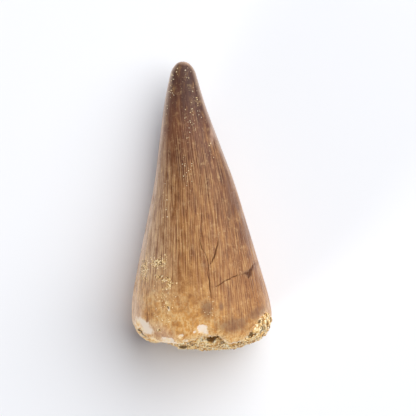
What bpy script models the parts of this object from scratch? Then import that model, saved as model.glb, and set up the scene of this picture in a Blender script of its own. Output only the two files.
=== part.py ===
"""Fossil mosasaur tooth, lying on its flatter side with the tip towards +Y.

The crown is one grown piece of enamel over dentine, broken off along a wavy rim at its base. Sandy rock fills
its pulp cavity, swells out past the rim and covers the places where the wall broke off shortest.
Metres, +Z up, origin on the surface that the tooth lies on, under the middle of its outline.
"""

import math

import bmesh
import bpy
from mathutils import Matrix, Vector, noise

MM = 0.001

# Driving dimensions of the crown. A distance "down" is measured from the tip towards the base.
CROWN_LENGTH = 44.4 * MM  # tip to the highest point of the broken rim, on the cutting edges
TIP_HALF_WIDTH = 1.70 * MM  # what the straight flanks would leave at the tip if it weren't worn round
FLANK_SLOPE = 0.25  # half-width gained for each unit down
BASE_HALF_WIDTH = 12.2 * MM
BASE_LEVELLING = 40.0  # how abruptly the flanks turn parallel at the base
WORN_TIP = 2.2 * MM  # the length that wear has rounded off
LEAN = (  # sideways place of the tooth's middle (mm) at a distance down (mm): the backward hook of the crown
    (0.0, -3.35),
    (7.0, -3.05),
    (14.0, -2.22),
    (21.0, -1.33),
    (30.0, -0.83),
    (38.0, -0.40),
    (44.4, 0.0),
)
TIP_RAISE = 6.2 * MM  # the tip curves up this far off the surface that the tooth lies on
RAISE_SPAN = 28.0 * MM  # and the curve starts this far down

# Cross-section, in units of the half-width, measured from the cutting edges.
RISE = 0.93  # to the crest of the rounder side, which faces up
DROP = 0.67  # to the flatter side, which the tooth lies on
ROUNDNESS_UP = 2.3
ROUNDNESS_DOWN = 2.5
FLAT_CUT = 1.05  # the flatter side would reach this much lower if it weren't flat
KEEL = 0.025  # height of each cutting edge
KEEL_SPAN = math.radians(7.0)
RELIEF = 0.02  # broad unevenness of the enamel
RELIEF_SIZE = 7.0 * MM

# Broken base
BASE_DEPTH = 5.35 * MM  # how far the rock swells down past CROWN_LENGTH
LOBE_UP = 5.05 * MM  # how far the wall reaches down past CROWN_LENGTH on the rounder side
LOBE_DOWN = 4.3 * MM
CORNER_LEFT = 2.6  # roundness of the base's outline, as an exponent: higher is squarer
CORNER_RIGHT = 2.0
BASE_SKEW = 0.14  # share of the half-width by which the lowest point lies off the middle
CHIPS = (  # (place round the rim, its reach to either side, all in degrees; depth in mm); 0 is +X, 90 is up
    (27.0, 20.0, 18.0, 3.05),
    (52.0, 10.0, 16.0, 0.55),
    (78.0, 10.0, 25.0, 2.25),
    (114.0, 14.0, 11.0, 0.55),
    (157.0, 8.0, 8.0, 0.9),
    (210.0, 22.0, 18.0, -1.5),  # a spur that is left standing
    (290.0, 12.0, 20.0, 1.7),
    (335.0, 9.0, 9.0, 0.9),
)
RIM_RAGGEDNESS = 0.25 * MM
RIM_SIDES = 0.985  # the wall's outline is read this far out at the cutting edges, where it would come to a point
RIM_ROUNDING = ((1.0, 1.7), (0.99, 0.8), (0.965, 0.25), (0.93, 0.0))  # (share of radius, mm above the rim)
CAVITY_MOUTH = 0.80  # the pulp cavity's share of the radius at the rim
CAVITY_DEPTH = 12.0 * MM
ROCK_GAP = 0.3 * MM
ROCK_LUMP = 0.40 * MM
LUMP_SIZE = 3.2 * MM
LUMP_PLACE = 27.0  # where the noise is cut, in half-widths; it sets where the lumps fall
ROCK_HOLLOW = 0.8  # share of the swelling lost for each half-width further to the left
ROCK_HOLLOW_FROM = 0.25  # of the half-width, left of the middle
THINNEST_ROCK = 0.15 * MM

# How finely the solids are divided
COLUMNS_UP = 36
COLUMNS_DOWN = 26
TIP_ROWS = 6
FLANK_ROWS = 32
PLUG_ROWS = 4
DOME_ROWS = 12


def spline(stations, at):
    """Smooth curve through (place, value) stations, held level past both ends."""
    if at <= stations[0][0]:
        return stations[0][1]
    for i in range(len(stations) - 1):
        (a, va), (b, vb) = stations[i], stations[i + 1]
        if at <= b:
            before = stations[max(i - 1, 0)]
            after = stations[min(i + 2, len(stations) - 1)]
            slope_a = (vb - before[1]) / (b - before[0])
            slope_b = (after[1] - va) / (after[0] - a)
            t = (at - a) / (b - a)
            return (
                va * (2 * t**3 - 3 * t**2 + 1)
                + vb * (3 * t**2 - 2 * t**3)
                + (b - a) * (slope_a * (t**3 - 2 * t**2 + t) + slope_b * (t**3 - t**2))
            )
    return stations[-1][1]


def taper(down):
    """Half-width before the tip is rounded: straight flanks that level off at the base."""
    cone = (TIP_HALF_WIDTH + FLANK_SLOPE * down) / BASE_HALF_WIDTH
    return BASE_HALF_WIDTH * (cone**-BASE_LEVELLING + 1) ** (-1 / BASE_LEVELLING)


def half_width(down):
    worn = max(0.0, 1 - down / WORN_TIP)
    return taper(down) * (1 - worn**2) ** 0.4


def edge_height(down):
    """Height of the cutting edges above the surface that the tooth lies on."""
    return DROP * taper(down) + TIP_RAISE * max(0.0, 1 - down / RAISE_SPAN) ** 2


def section_point(angle):
    """(x, z) of the unit cross-section in a direction: 0 is +X and a quarter turn is up."""
    x, z = math.cos(angle), math.sin(angle)
    roundness, reach = (ROUNDNESS_UP, RISE) if z >= 0 else (ROUNDNESS_DOWN, DROP * FLAT_CUT)
    radius = (abs(x) ** roundness + abs(z / reach) ** roundness) ** (-1 / roundness)
    off_edge = math.asin(min(1.0, abs(z))) / KEEL_SPAN
    keel = math.copysign(KEEL * math.exp(-(off_edge**2)), x)
    return (radius * x * (1 - KEEL) + keel, max(radius * z, -DROP))


def evenly_spaced(start, end, columns):
    """Angles from start up to but not including end that divide the section's outline evenly."""
    fine = 720
    angles = [start + (end - start) * i / fine for i in range(fine + 1)]
    points = [section_point(a) for a in angles]
    lengths = [0.0]
    for p, q in zip(points, points[1:]):
        lengths.append(lengths[-1] + math.dist(p, q))
    chosen, i = [], 0
    for column in range(columns):
        wanted = lengths[-1] * column / columns
        while lengths[i + 1] < wanted:
            i += 1
        share = (wanted - lengths[i]) / (lengths[i + 1] - lengths[i])
        chosen.append(angles[i] + share * (angles[i + 1] - angles[i]))
    return chosen


def base_outline(x):
    """How deep the base's rounded outline is at x, both as shares: 0 at the two edges, 1 at its lowest."""
    x = min(max(x, -1.0), 1.0)
    x -= BASE_SKEW * (1 - x * x)
    corner = CORNER_LEFT if x < 0 else CORNER_RIGHT
    return max(0.0, 1 - abs(x) ** corner) ** (1 / corner)


def rim_depth(angle):
    """How far the broken wall reaches down past CROWN_LENGTH in a direction round the tooth."""
    x, z = section_point(angle)
    lobe = LOBE_UP if z >= 0 else LOBE_DOWN
    depth = lobe * base_outline(x * RIM_SIDES)
    for place, reach_before, reach_after, chip in CHIPS:
        off = (math.degrees(angle) - place + 180) % 360 - 180
        off /= reach_after if off > 0 else reach_before
        depth -= chip * MM * math.exp(-(abs(off) ** 3))
    around = Vector((x, z, 0.0)) * BASE_HALF_WIDTH / LUMP_SIZE
    return depth + RIM_RAGGEDNESS * noise.noise(around)


def rock_depth(x, z):
    """How far the rock swells down past CROWN_LENGTH at a place in the unit cross-section."""
    reach = RISE if z >= 0 else DROP
    swell = max(0.0, 1 - abs(z / reach) ** 2.4) ** (1 / 2.4)
    kept = 1 - ROCK_HOLLOW * max(0.0, -x - ROCK_HOLLOW_FROM)
    lumps = noise.fractal(Vector((x, z, LUMP_PLACE)) * BASE_HALF_WIDTH / LUMP_SIZE, 0.7, 2.2, 2)
    return BASE_DEPTH * base_outline(x) * swell * kept + ROCK_LUMP * lumps


def inside_point(x, z, down):
    """A point of the tooth from its place in the unit cross-section and its distance down."""
    width = half_width(down)
    lean = spline(LEAN, down / MM) * MM
    return Vector((lean + width * x, -down, edge_height(down) + width * z))


def enamel_point(angle, down):
    """A point on the outside of the crown, with the broad unevenness of the enamel's rounder side."""
    x, z = section_point(angle)
    smooth = inside_point(x, z, down)
    if z <= 0:
        return smooth
    uneven = 1 + RELIEF * noise.noise(smooth / RELIEF_SIZE) * z / RISE
    return inside_point(x * uneven, z * uneven, down)


def closed_stack(name, first, rings, last):
    """One closed mesh through a row of rings, with a point at each end."""
    mesh = bmesh.new()
    loops = [[mesh.verts.new(p) for p in ring] for ring in rings]
    count = len(rings[0])
    for end, loop in ((mesh.verts.new(first), loops[0]), (mesh.verts.new(last), loops[-1])):
        for i in range(count):
            mesh.faces.new((end, loop[i], loop[(i + 1) % count]))
    for upper, lower in zip(loops, loops[1:]):
        for i in range(count):
            j = (i + 1) % count
            mesh.faces.new((upper[i], upper[j], lower[j], lower[i]))
    bmesh.ops.recalc_face_normals(mesh, faces=mesh.faces)
    data = bpy.data.meshes.new(name)
    mesh.to_mesh(data)
    mesh.free()
    data.shade_smooth()
    data.set_sharp_from_angle(angle=math.radians(50))
    piece = bpy.data.objects.new(name, data)
    bpy.context.scene.collection.objects.link(piece)
    return piece


def crown_rows():
    """Shares of the way from the tip to the rim's rounding, close together where the tip is round."""
    rounded = WORN_TIP / CROWN_LENGTH
    rows = [rounded * ((i + 1) / TIP_ROWS) ** 2 for i in range(TIP_ROWS)]
    return rows + [rounded + (1 - rounded) * (i + 1) / FLANK_ROWS for i in range(FLANK_ROWS)]


def build_crown(angles):
    rims = [CROWN_LENGTH + rim_depth(a) for a in angles]
    sections = [section_point(a) for a in angles]
    wall_end = RIM_ROUNDING[0][1] * MM
    rings = [
        [enamel_point(a, row * (rim - wall_end)) for a, rim in zip(angles, rims)]
        for row in crown_rows()
    ]
    steps = [(share, above * MM) for share, above in RIM_ROUNDING[1:]] + [(CAVITY_MOUTH, 0.3 * MM)]
    for share, above in steps:
        rings.append(
            [inside_point(x * share, z * share, rim - above) for (x, z), rim in zip(sections, rims)]
        )
    apex = CROWN_LENGTH - CAVITY_DEPTH
    for i in range(PLUG_ROWS):
        rings.append([cavity_point(s, rim, apex, i / PLUG_ROWS, 0.0) for s, rim in zip(sections, rims)])
    return closed_stack("tooth_crown", inside_point(0, 0, 0), rings, inside_point(0, 0, apex))


def cavity_point(section, rim, apex, along, shrink):
    """A point on the cone of the pulp cavity, a share of the way from its mouth to its apex."""
    share = (CAVITY_MOUTH - shrink) * (1 - along) ** 0.8
    mouth = min(rim, CROWN_LENGTH) - 0.6 * MM
    return inside_point(section[0] * share, section[1] * share, mouth + (apex - mouth) * along)


def rock_edge(angle, rim, neck):
    """Share of the radius at which the rock's swelling ends: past the wall's end face, or at the wall."""
    x, z = section_point(angle)
    share = 1.0
    while share > neck and rock_depth(x * share, z * share) < rim + ROCK_GAP + THINNEST_ROCK:
        share -= 0.005
    return share


def build_rock(angles):
    neck = CAVITY_MOUTH - ROCK_GAP / BASE_HALF_WIDTH - 0.005
    apex = CROWN_LENGTH - CAVITY_DEPTH + 2 * ROCK_GAP
    columns = []
    for angle in angles:
        x, z = section_point(angle)
        rim = rim_depth(angle)
        edge = rock_edge(angle, rim, neck)
        column = [
            cavity_point((x, z), CROWN_LENGTH + rim, apex, i / PLUG_ROWS, CAVITY_MOUTH - neck)
            for i in range(PLUG_ROWS - 1, -1, -1)
        ]
        if edge > neck:
            under_wall = [(neck, rim + ROCK_GAP - 0.1 * MM), (edge, rim + ROCK_GAP)]
        else:
            edge = neck - 0.02
            meets = rock_depth(x * edge, z * edge)
            under_wall = [(neck, meets - 0.3 * MM), (neck - 0.005, meets - 0.15 * MM)]
        for share, depth in under_wall:
            column.append(inside_point(x * share, z * share, CROWN_LENGTH + depth))
        for i in range(DOME_ROWS):
            share = edge * (1 - i / DOME_ROWS)
            depth = rock_depth(x * share, z * share)
            column.append(inside_point(x * share, z * share, CROWN_LENGTH + depth))
        columns.append(column)
    rings = [list(ring) for ring in zip(*columns)]
    lowest = inside_point(0, 0, CROWN_LENGTH + rock_depth(0, 0))
    return closed_stack("matrix", inside_point(0, 0, apex), rings, lowest)


def finish(piece, colour, roughness):
    material = bpy.data.materials.new(piece.name)
    material.use_nodes = True
    shader = material.node_tree.nodes["Principled BSDF"]
    shader.inputs["Base Color"].default_value = (*colour, 1.0)
    shader.inputs["Roughness"].default_value = roughness
    shader.inputs["Metallic"].default_value = 0.0
    piece.data.materials.append(material)


def centre_over_origin(pieces):
    """Moves the pieces together, in their meshes, so that the middle of their outline is over the origin."""
    points = [v.co for piece in pieces for v in piece.data.vertices]
    middle = [(min(p[axis] for p in points) + max(p[axis] for p in points)) / 2 for axis in (0, 1)]
    for piece in pieces:
        piece.data.transform(Matrix.Translation((-middle[0], -middle[1], 0.0)))


def main():
    for existing in list(bpy.data.objects):
        bpy.data.objects.remove(existing)
    angles = evenly_spaced(0.0, math.pi, COLUMNS_UP) + evenly_spaced(math.pi, 2 * math.pi, COLUMNS_DOWN)
    crown, rock = build_crown(angles), build_rock(angles)
    centre_over_origin([crown, rock])
    finish(crown, colour=(0.34, 0.17, 0.07), roughness=0.35)
    finish(rock, colour=(0.55, 0.42, 0.25), roughness=0.9)


main()
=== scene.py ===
"""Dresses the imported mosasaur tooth: wrinkled enamel, bare dentine along the broken rim, and sandy rock.

Laid out as an add-on, and run as a script. Shapes are worked out in millimetres, and turned to metres last.
"""

import math

import bpy
import numpy as np
from bpy.props import FloatProperty, FloatVectorProperty, PointerProperty
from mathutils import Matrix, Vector, noise


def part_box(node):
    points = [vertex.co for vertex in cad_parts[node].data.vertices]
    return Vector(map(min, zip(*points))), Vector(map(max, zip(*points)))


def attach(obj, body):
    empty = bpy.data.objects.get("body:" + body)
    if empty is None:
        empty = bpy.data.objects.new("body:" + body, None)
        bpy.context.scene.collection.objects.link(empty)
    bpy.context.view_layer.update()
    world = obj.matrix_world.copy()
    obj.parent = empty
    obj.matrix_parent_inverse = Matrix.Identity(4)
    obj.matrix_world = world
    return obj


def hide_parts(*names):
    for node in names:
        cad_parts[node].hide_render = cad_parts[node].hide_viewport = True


bl_info = {
    "name": "Fossil Mosasaur Tooth",
    "version": (1, 0, 0),
    "blender": (4, 5, 0),
    "location": "3D View > Sidebar > Fossil Tooth",
    "description": "Builds a wrinkled fossil tooth crown with sandy rock in its broken base",
    "category": "Add Mesh",
}

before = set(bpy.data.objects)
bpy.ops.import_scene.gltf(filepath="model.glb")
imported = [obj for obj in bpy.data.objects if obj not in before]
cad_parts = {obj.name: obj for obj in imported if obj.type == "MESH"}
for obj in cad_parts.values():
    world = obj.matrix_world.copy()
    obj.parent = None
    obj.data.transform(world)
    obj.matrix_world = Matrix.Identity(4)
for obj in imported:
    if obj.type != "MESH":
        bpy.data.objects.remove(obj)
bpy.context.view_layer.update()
MM = 0.001
FULL_TURN = 2 * math.pi

# Kinds of node that are used many times
MATH = "ShaderNodeMath"
VECTOR_MATH = "ShaderNodeVectorMath"
SEPARATE = "ShaderNodeSeparateXYZ"
MIX = "ShaderNodeMix"
MAP_RANGE = "ShaderNodeMapRange"
RAMP = "ShaderNodeValToRGB"
NOISE = "ShaderNodeTexNoise"
ATTRIBUTE = "ShaderNodeAttribute"
NAMED = "GeometryNodeInputNamedAttribute"
STORE = "GeometryNodeStoreNamedAttribute"
RANDOM = "FunctionNodeRandomValue"

# The crown's shape, in millimetres, the same as its solid's. "Down" is the distance from the tip to the base.
CROWN_LENGTH = 44.4
TIP_HALF_WIDTH = 1.70
FLANK_SLOPE = 0.25
BASE_HALF_WIDTH = 12.2
BASE_LEVELLING = 40.0
WORN_TIP = 2.2
TIP_BLUNTNESS = 0.4
LEAN = ((0.0, -3.35), (7.0, -3.05), (14.0, -2.22), (21.0, -1.33), (30.0, -0.83), (38.0, -0.40), (44.4, 0.0))
TIP_RAISE = 6.2
RAISE_SPAN = 28.0
RISE = 0.93
DROP = 0.67
ROUNDNESS_UP = 2.3
ROUNDNESS_DOWN = 2.5
FLAT_CUT = 1.05
KEEL = 0.025
KEEL_SPAN = math.radians(7.0)
RELIEF = 0.02
RELIEF_SIZE = 7.0
BASE_DEPTH = 5.35
LOBE_UP = 5.05
LOBE_DOWN = 4.3
CORNER_LEFT = 2.6
CORNER_RIGHT = 2.0
BASE_SKEW = 0.14
CHIPS = (  # place round the rim from +X and reach before and after it, in degrees, then depth
    (27.0, 20.0, 18.0, 3.05),
    (52.0, 10.0, 16.0, 0.55),
    (78.0, 10.0, 25.0, 2.25),
    (114.0, 14.0, 11.0, 0.55),
    (157.0, 8.0, 8.0, 0.9),
    (210.0, 22.0, 18.0, -1.5),
    (290.0, 12.0, 20.0, 1.7),
    (335.0, 9.0, 9.0, 0.9),
)
RIM_RAGGEDNESS = 0.25
RIM_SIDES = 0.985
RIM_ROUND_SHARE = 0.07
RIM_ROUND_HEIGHT = 1.7
CAVITY_MOUTH = 0.80
CAVITY_DEPTH = 12.0
ROCK_ROUNDNESS = 2.4
ROCK_LUMP = 0.40
LUMP_SIZE = 3.2
LUMP_PLACE = 27.0
LUMP_FRACTAL = (0.7, 2.2, 2)  # how each finer noise weakens, how much finer it is, and how many there are
ROCK_HOLLOW = 0.8
ROCK_HOLLOW_FROM = 0.25

# What the dressed crown and rock add to the solids, in millimetres, where "share" says shares of the section
RIM_TEETH = ((0.12, 0.9), (0.07, 0.35))  # heights and sizes of the rim's fine raggedness
WALL_SLOPE = 0.3  # how much less far down the broken wall reaches at its inner edge
CAVITY_LIP = 0.6
CAVITY_TAPER = 0.8
BARE_RIM = (0.25, 0.45, 2.6)  # the bare band's mean height along the rim, how much it varies, and how often
LEAST_BARE_RIM = 0.06
BROKEN_ROUGHNESS = (0.12, 0.55)  # height and size
BROKEN_LEVEL = 0.08
PITS = (0.07, 0.45)  # depth and size
RESTING_HEIGHT = 0.02
RESTING_SHARE = 0.3  # how much of the marks' depth is left where the tooth lies on its flat side
ROCK_GAP_SHARE = 0.03
ROCK_BELOW_RIM = 0.15
ROCK_PLUG = ((0.3, -10.0), (0.6, -6.0), (CAVITY_MOUTH - ROCK_GAP_SHARE - 0.1, -2.5))  # shares and depths
ROCK_PLUG_END = -11.0
ROCK_WALL_ROWS = (0.0, 0.5, 1.0)
ROCK_WALL_LEVEL = 0.4  # how far short of the swelling the rock lies against the wall
ROCK_EDGE_STEP = 0.005  # a share, by which the swelling's edge is drawn in until it clears the rim
ROCK_EDGE_BLUR = 9  # columns
ROCK_EDGE_ROUND = (0.7, 0.10)  # height, and the share of the swelling that it takes
ROCK_ROW_SPREAD = 1.15  # above 1, rows lie closer together at the swelling's edge
ROCK_ROUGHNESS = ((0.28, 1.5), (0.20, 0.65), (0.08, 0.3))  # heights and sizes
ROCK_LIFT = 0.05
FLOOR_GAP = 0.4  # no grains below this height
SLIT_HEIGHT = 13.0  # the slits open upwards, and are left out of the end face below this
ROCK_LUMPS = 2300.0  # per metre, for lumps 0.43 mm across
ROCK_PATCHES = 450.0  # per metre, for patches 2.2 mm across
ROCK_GRAINS = (0.12, 0.44)  # smallest and largest
CRUST_GRAINS = (0.08, 0.23)
ROCK_DARKEST = 0.0  # tones run from 0, dark, to 1, white
CRUST_DARKEST = 0.72
ROCK_SEED = 1
CRUST_SEED = 4
FAR = 99.0  # crack widths away, where no crack is near
OUTSIDE = -9.0  # what a patch reads where it does not reach

# How finely the shown meshes are divided
OUTLINE_STEPS = 4000
LENGTH_STEPS = 400
COLUMNS_UP = 400
COLUMNS_DOWN = 230
TIP_ROWS = 10
UPPER_ROWS = 34
LOWER_ROWS = 80
RIM_ROWS = 10
WALL_ROWS = 5
CAVITY_ROWS = (0.0, 0.3, 0.6, 0.85)
UPPER_SHARE = 0.52
TIP_START = 0.2  # nearer to the tip than this, the width is taken as here
WRINKLE_SPREAD = 0.6  # 0 makes all wrinkles meet at the tip, 1 makes them run parallel and end at the edges
OTHER_FACE = 40.0  # millimetres between the two faces' patterns, so that they differ
ROCK_COLUMNS = 300
ROCK_ROWS = 90
ROCK_OUTLINE = 2000

# What time and the dig did to the crown. Places are (x, y) in millimetres, seen from above.
CRACKS = (  # half-width in the middle, then the line, which thins out towards both ends
    (0.05, ((-0.43, -4.35), (-0.38, -5.91), (-0.15, -7.36), (0.57, -8.22), (0.86, -9.08), (1.12, -10.28))),
    (0.09, ((2.70, -5.91), (2.56, -7.07), (2.27, -8.20), (1.57, -9.77), (1.12, -10.28))),
    (0.06, ((1.12, -10.28), (0.95, -11.49), (1.20, -12.66), (1.29, -13.85), (1.34, -14.9), (1.5, -15.8))),
    (0.08, ((1.45, -14.07), (2.72, -13.67), (3.75, -12.99), (4.78, -12.57), (5.97, -12.00), (7.60, -11.63))),
    (0.07, ((5.97, -12.00), (7.60, -11.63), (8.19, -11.00), (8.70, -10.40), (9.25, -10.05))),
    (0.24, ((7.35, -11.60), (7.95, -11.75), (8.25, -11.35), (8.75, -10.60))),
    (0.26, ((8.30, -10.90), (8.20, -11.60), (8.00, -12.50))),
    (0.18, ((-11.2, -21.65), (-10.4, -22.15), (-9.7, -22.70), (-8.9, -23.15))),
)
CRACK_END = 0.35  # how much of a crack's width is left at its ends

# Patches are (x, y), (half-width, half-length) and a turn in degrees.
FLAKED = (  # where the enamel has flaked off
    ((-10.1, -20.7), (1.9, 0.95), -38.0),
    ((0.17, -21.10), (0.85, 0.70), 0.0),
    ((-5.8, -23.0), (1.2, 0.50), -14.0),
    ((-1.20, -21.60), (0.34, 0.25), 10.0),
    ((-3.70, -22.20), (0.50, 0.38), 30.0),
    ((0.20, -22.65), (0.24, 0.20), 0.0),
    ((1.20, -22.20), (0.22, 0.18), 0.0),
    ((-5.75, -17.70), (0.22, 0.36), 0.0),
)
STAINED = (  # dark mineral stains
    ((0.8, -17.8), (1.2, 2.1), 0.0),
    ((3.2, -17.2), (0.7, 1.0), 0.0),
    ((9.3, -18.4), (2.4, 1.1), 30.0),
    ((5.3, -20.4), (3.4, 1.6), 8.0),
    ((8.05, -11.5), (1.1, 0.95), 20.0),
    ((8.9, -10.6), (0.5, 1.3), -35.0),
    ((4.9, 2.4), (1.0, 4.2), 20.0),
    ((7.6, -4.6), (0.9, 3.6), 16.0),
)
SHADED = (  # broad darker zones: painted shade over the right flank, and a darker reddish zone on the left flank
    ((5.0, 0.6), (4.0, 8.5), 18.0),
    ((-4.0, 7.6), (1.8, 5.0), 4.0),
)
WORN_AND_LIT = (  # where the enamel is worn pale; the last two, on the lower left, are also painted light on the flank turned from the lamps
    ((1.7, 12.0), (0.4, 2.2), 8.0),
    ((-2.9, 25.2), (2.2, 1.1), 0.0),
    ((-11.1, -18.5), (1.5, 5.5), 0.0),
    ((-7.0, -21.8), (4.2, 1.9), -28.0),
)
SMOOTHED = (((-3.0, -19.5), (6.2, 9.0), 0.0),)  # where wear has taken the wrinkles away
CRUSTED = (  # where rock still sticks to the enamel
    ((-9.9, -10.9), (0.8, 2.7), -5.0),
    ((-7.4, -9.8), (1.9, 1.4), 0.0),
    ((-6.9, -12.6), (2.4, 0.7), -15.0),
    ((-5.8, -13.8), (1.3, 0.7), 38.0),
    ((-6.0, -17.1), (0.5, 1.2), 0.0),
    ((-7.4, -21.2), (0.8, 0.5), 0.0),
    ((-10.3, -22.3), (1.5, 0.35), -35.0),
)
SLIT_SHADOWS = (((-3.3, -24.2), (1.5, 0.6), -8.0),)  # painted shadow in slits between the rock and the broken wall
SPRINKLED = (  # where only single grains of rock are left
    ((-6.3, 0.9), (0.6, 3.0), 0.0),
    ((-1.9, 15.9), (1.7, 1.7), 0.0),
    ((-1.9, 12.9), (0.9, 1.4), -20.0),
    ((-3.2, 23.2), (1.6, 1.0), 0.0),
    ((-5.4, 20.0), (0.5, 3.0), -8.0),
    ((-1.2, 18.5), (0.6, 3.0), 12.0),
    ((1.55, 9.6), (0.5, 1.2), 10.0),
    ((-2.4, 5.6), (0.9, 2.6), 0.0),
    ((-6.6, -16.5), (1.6, 4.5), 0.0),
    ((1.3, -18.2), (0.9, 2.0), 0.0),
    ((0.4, -3.2), (0.9, 0.6), 0.0),
)

# The stage. Lights are placed by degrees round from +X and up from the floor.
BOX_PLACE = (40.0, 47.0)  # right of the tip and high up: the box is half as wide again as its distance
FILL_PLACE = (226.0, 8.0)  # left of the base and so low that it lights that flank and hardly the shadow
SENSOR_WIDTH = 36.0  # millimetres
CAMERA_OVER = (1.0, -0.47)  # the place that the camera looks down on, in millimetres
EDGES_HEIGHT = 8.0  # how high the cutting edges lie, in millimetres


def connect(tree, node, links):
    """Sets a node's inputs, each to a value or to another node's output."""
    for socket, source in links.items():
        if isinstance(source, bpy.types.NodeSocket):
            tree.links.new(source, node.inputs[socket])
        else:
            node.inputs[socket].default_value = source


def add(tree, kind, links=None, stops=(), give=0, **settings):
    """Adds a node and gives back one of its outputs, or all of them where give is None.

    links holds its inputs and stops a ramp's places and colours.
    """
    node = tree.nodes.new(kind)
    for name, value in settings.items():
        setattr(node, name, value)
    connect(tree, node, links or {})
    if stops:
        elements = node.color_ramp.elements
        while len(elements) < len(stops):
            elements.new(1.0)
        for element, (place, colour) in zip(elements, stops):
            element.position = place
            element.color = colour
    return node.outputs if give is None else node.outputs[give]


def linear(colour):
    """Turns an sRGB hex colour to linear red, green, blue and alpha."""
    parts = [int(colour[i : i + 2], 16) / 255 for i in (1, 3, 5)]
    return (*[c / 12.92 if c <= 0.04045 else ((c + 0.055) / 1.055) ** 2.4 for c in parts], 1.0)


def smooth_step(low, high, value):
    t = np.clip((value - low) / (high - low), 0.0, 1.0)
    return t * t * (3 - 2 * t)


def noise_at(points, size):
    """Perlin noise, about -1 to 1, at an array of points, for features of a size in the points' own unit."""
    return np.array([noise.noise(p) for p in np.asarray(points, float) / size])


# ---------------------------------------------------------------- the crown's shape


def taper(down):
    cone = (TIP_HALF_WIDTH + FLANK_SLOPE * down) / BASE_HALF_WIDTH
    return BASE_HALF_WIDTH * (cone**-BASE_LEVELLING + 1) ** (-1 / BASE_LEVELLING)


def half_width(down):
    worn = np.maximum(0.0, 1 - down / WORN_TIP)
    return taper(down) * (1 - worn**2) ** TIP_BLUNTNESS


def lean(down):
    """Sideways place of the tooth's middle: a smooth curve through LEAN."""
    places, offsets = np.array(LEAN).T
    after, before = np.r_[1 : len(places), len(places) - 1], np.r_[0, 0 : len(places) - 1]
    slopes = (offsets[after] - offsets[before]) / (places[after] - places[before])
    i = np.clip(np.searchsorted(places, down) - 1, 0, len(places) - 2)
    span = places[i + 1] - places[i]
    t = np.clip((down - places[i]) / span, 0, 1)
    ends = offsets[i] * (2 * t**3 - 3 * t**2 + 1) + offsets[i + 1] * (3 * t**2 - 2 * t**3)
    return ends + span * (slopes[i] * (t**3 - 2 * t**2 + t) + slopes[i + 1] * (t**3 - t**2))


def edge_height(down):
    return DROP * taper(down) + TIP_RAISE * np.maximum(0.0, 1 - down / RAISE_SPAN) ** 2


def section(angles):
    """x and z of the unit cross-section in each direction: 0 is +X and a quarter turn is up."""
    x, z = np.cos(angles), np.sin(angles)
    up = z >= 0
    roundness = np.where(up, ROUNDNESS_UP, ROUNDNESS_DOWN)
    reach = np.where(up, RISE, DROP * FLAT_CUT)
    radius = (np.abs(x) ** roundness + np.abs(z / reach) ** roundness) ** (-1 / roundness)
    off_edge = np.arcsin(np.minimum(1.0, np.abs(z))) / KEEL_SPAN
    keel = np.copysign(KEEL * np.exp(-(off_edge**2)), x)
    return radius * x * (1 - KEEL) + keel, np.maximum(radius * z, -DROP)


def evenly_spaced(start, end, columns):
    """Angles from start up to but not including end that divide the section's outline evenly."""
    angles = np.linspace(start, end, OUTLINE_STEPS)
    steps = np.hypot(*[np.diff(side) for side in section(angles)])
    lengths = np.r_[0, np.cumsum(steps)]
    return np.interp(lengths[-1] * np.arange(columns) / columns, lengths, angles)


def base_outline(x):
    x = np.clip(x, -1, 1)
    x = x - BASE_SKEW * (1 - x * x)
    corner = np.where(x < 0, CORNER_LEFT, CORNER_RIGHT)
    return np.maximum(0.0, 1 - np.abs(x) ** corner) ** (1 / corner)


def rim_depth(angles):
    """How far the broken wall reaches down past CROWN_LENGTH in each direction."""
    x, z = section(angles)
    depth = np.where(z >= 0, LOBE_UP, LOBE_DOWN) * base_outline(x * RIM_SIDES)
    for place, reach_before, reach_after, chip in CHIPS:
        off = (np.degrees(angles) - place + 180) % 360 - 180
        off = off / np.where(off > 0, reach_after, reach_before)
        depth = depth - chip * np.exp(-(np.abs(off) ** 3))
    around = np.c_[x, z, np.zeros(len(x))] * BASE_HALF_WIDTH
    return depth + RIM_RAGGEDNESS * noise_at(around, LUMP_SIZE)


def rock_depth(x, z):
    """How far the rock swells down past CROWN_LENGTH at places in the unit cross-section."""
    reach = np.where(z >= 0, RISE, DROP)
    swell = np.maximum(0.0, 1 - np.abs(z / reach) ** ROCK_ROUNDNESS) ** (1 / ROCK_ROUNDNESS)
    kept = 1 - ROCK_HOLLOW * np.maximum(0.0, -x - ROCK_HOLLOW_FROM)
    places = np.c_[x, z, np.full(len(x), LUMP_PLACE)] * BASE_HALF_WIDTH / LUMP_SIZE
    lumps = np.array([noise.fractal(p, *LUMP_FRACTAL) for p in places])
    return BASE_DEPTH * base_outline(x) * swell * kept + ROCK_LUMP * lumps


def inside(x, z, down):
    """Points of the tooth from their places in the unit cross-section and their distances down."""
    width = half_width(down)
    return np.stack([lean(down) + width * x, -down, edge_height(down) + width * z], axis=-1)


def origin_shift():
    """How far the formula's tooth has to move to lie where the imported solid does."""
    high = np.array(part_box("tooth_crown")[1]) / MM
    downs = np.linspace(0, CROWN_LENGTH, LENGTH_STEPS)
    right = (lean(downs) + half_width(downs)).max()
    return np.array([high[0] - right, high[1], 0.0])


# ---------------------------------------------------------------- marks on the crown


def from_cracks(points):
    """Distance in plan from each point to the nearest crack, in half-widths of the crack there."""
    nearest = np.full(len(points), FAR)
    for half_width, line in CRACKS:
        places = np.array(line)
        steps = np.r_[0, np.cumsum(np.hypot(*np.diff(places, axis=0).T))]
        for start, end, begun, step in zip(places[:-1], places[1:], steps[:-1], np.diff(steps)):
            along = end - start
            t = np.clip((points[:, :2] - start) @ along / (along @ along), 0, 1)
            away = np.hypot(*(points[:, :2] - start - t[:, None] * along).T)
            share = (begun + t * step) / steps[-1]
            thinned = half_width * (CRACK_END + (1 - CRACK_END) * np.sin(math.pi * share))
            nearest = np.minimum(nearest, away / thinned)
    return nearest


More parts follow.
